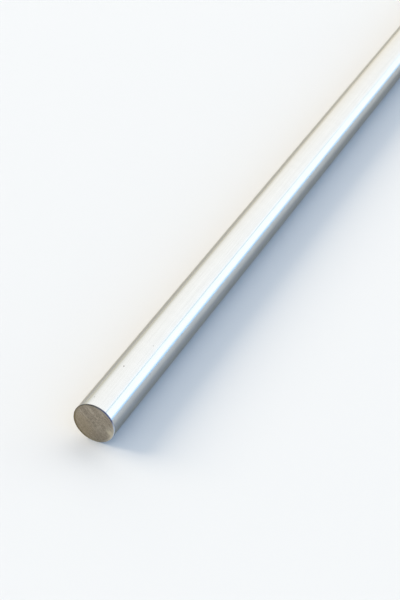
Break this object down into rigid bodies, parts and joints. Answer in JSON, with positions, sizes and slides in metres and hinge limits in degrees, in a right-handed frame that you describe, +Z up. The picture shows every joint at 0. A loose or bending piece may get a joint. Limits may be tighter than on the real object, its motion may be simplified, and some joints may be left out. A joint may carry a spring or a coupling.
{
  "type": "round metal bar",
  "caption": "Plain round bar of solid bright drawn metal, lying on its side, with square sawn ends whose edges are lightly broken",
  "frame": {"origin": "middle of the line on which the bar rests, half way along its length", "axes": "+X along the bar, towards the sawn end that faces the viewer in the picture; +Z up; +Y across"},
  "size_m": [0.3048, 0.0126, 0.0127],
  "materials": {
    "bright_steel": "bright cold drawn skin with faint lengthwise grain; ends bare and sawn, warm grey, with fine parallel saw marks"
  },
  "bodies": {
    "root": {"round_bar": "bright_steel"}
  },
  "joints": []
}
